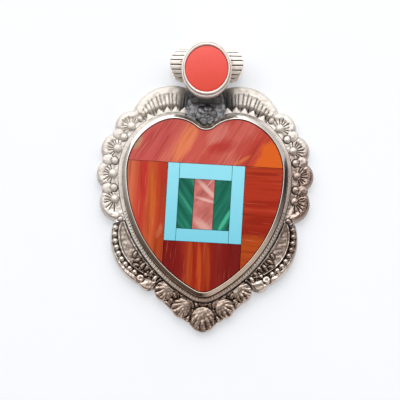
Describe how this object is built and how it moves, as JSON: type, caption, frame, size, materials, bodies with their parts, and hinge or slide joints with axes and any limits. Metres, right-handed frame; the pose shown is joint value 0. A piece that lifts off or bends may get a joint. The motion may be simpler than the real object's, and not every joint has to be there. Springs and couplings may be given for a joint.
{
  "type": "heart pendant",
  "caption": "Silver heart pendant with a shell and stone inlay, a fluted and beaded border, and a coral setting on a hinged tube bail for a chain or cord.",
  "frame": {"origin": "on the flat back, under the middle of the square in the inlay", "axes": "+Z out of the face, +Y towards the bail, +X to the right as seen from the front"},
  "size_m": [0.0402, 0.0533, 0.0088],
  "materials": {
    "silver_plate": "satin silver",
    "silver_polished": "polished silver",
    "silver_border": "silver with dark recesses",
    "silver_dark": "oxidised silver",
    "cement": "matt dark cement",
    "shell_red": "polished banded shell",
    "turquoise": "polished",
    "malachite": "polished",
    "rhodochrosite": "polished",
    "coral": "polished"
  },
  "bodies": {
    "pendant": {"base_plate": "silver_plate", "heart_bezel": "silver_polished", "gallery_strip": "silver_border", "inlay_bed": "cement", "shell_top": "shell_red", "shell_left": "shell_red", "shell_right": "shell_red", "shell_bottom": "shell_red", "turquoise_left": "turquoise", "turquoise_right": "turquoise", "turquoise_top": "turquoise", "turquoise_bottom": "turquoise", "malachite_left": "malachite", "rhodochrosite": "rhodochrosite", "malachite_right": "malachite", "crest_left": "silver_border", "crest_right": "silver_border", "fans_left": "silver_border", "fans_right": "silver_border", "fan_pearls": "silver_border", "swag_left": "silver_border", "swag_right": "silver_border", "swag_beads": "silver_border", "tail_scrolls": "silver_border", "tail_shell": "silver_border", "rosette": "silver_dark", "hinge_lugs": "silver_dark", "hinge_pin": "silver_dark"},
    "bail": {"bail_tube": "silver_border", "coral_plate": "silver_polished", "coral_bezel": "silver_polished", "coral_stone": "coral"}
  },
  "joints": [
    {"name": "bail_hinge", "type": "hinge", "parent": "pendant", "child": "bail", "pos_m": [0, 0.01975, 0.00215], "axis": [1, 0, 0], "range_deg": [0, 60]}
  ]
}
